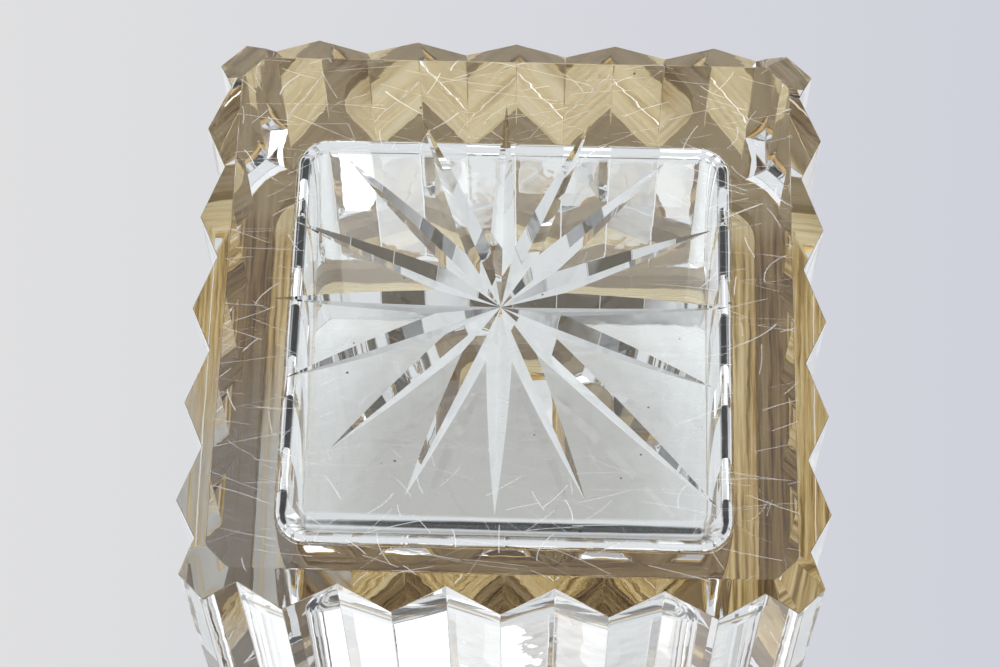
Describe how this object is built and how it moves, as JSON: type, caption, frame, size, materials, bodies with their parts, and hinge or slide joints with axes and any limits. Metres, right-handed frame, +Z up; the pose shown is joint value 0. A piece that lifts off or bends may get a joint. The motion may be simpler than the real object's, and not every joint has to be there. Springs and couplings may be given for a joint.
{
  "type": "powder jar",
  "caption": "Square cut-crystal vanity powder jar with prism-cut walls, a star-cut base and a hinged bevelled crystal lid, both set in gilt brass mounts.",
  "frame": {"origin": "centre of the flat base face that the jar stands on", "axes": "+Z up; the thumb lift is at the front, -Y, and the hinge at the back, +Y; X runs along the hinge pin"},
  "size_m": [0.096, 0.1046, 0.0934],
  "materials": {
    "crystal": "cut and polished lead crystal",
    "gilt_brass": "fire-gilt, softly burnished",
    "brass": "drawn brass, lightly tarnished",
    "shellac_bedding": "amber shellac and whiting setting compound"
  },
  "bodies": {
    "jar": {"jar_glass": "crystal", "jar_bedding": "shellac_bedding", "lower_mount": "gilt_brass", "hinge_leaf_lower": "gilt_brass", "hinge_rivet_lower_left": "brass", "hinge_rivet_lower_middle": "brass", "hinge_rivet_lower_right": "brass", "hinge_pin": "brass", "hinge_finial_left": "gilt_brass", "hinge_finial_right": "gilt_brass"},
    "lid": {"lid_glass": "crystal", "lid_bedding": "shellac_bedding", "upper_mount": "gilt_brass", "hinge_leaf_upper": "gilt_brass", "hinge_rivet_upper_left": "brass", "hinge_rivet_upper_middle": "brass", "hinge_rivet_upper_right": "brass", "thumb_lift": "gilt_brass", "thumb_rivet_left": "brass", "thumb_rivet_right": "brass"}
  },
  "joints": [
    {"name": "lid_hinge", "type": "hinge", "parent": "jar", "child": "lid", "pos_m": [0, 0.0487, 0.07545], "axis": [-1, 0, 0], "range_deg": [0, 100]}
  ]
}
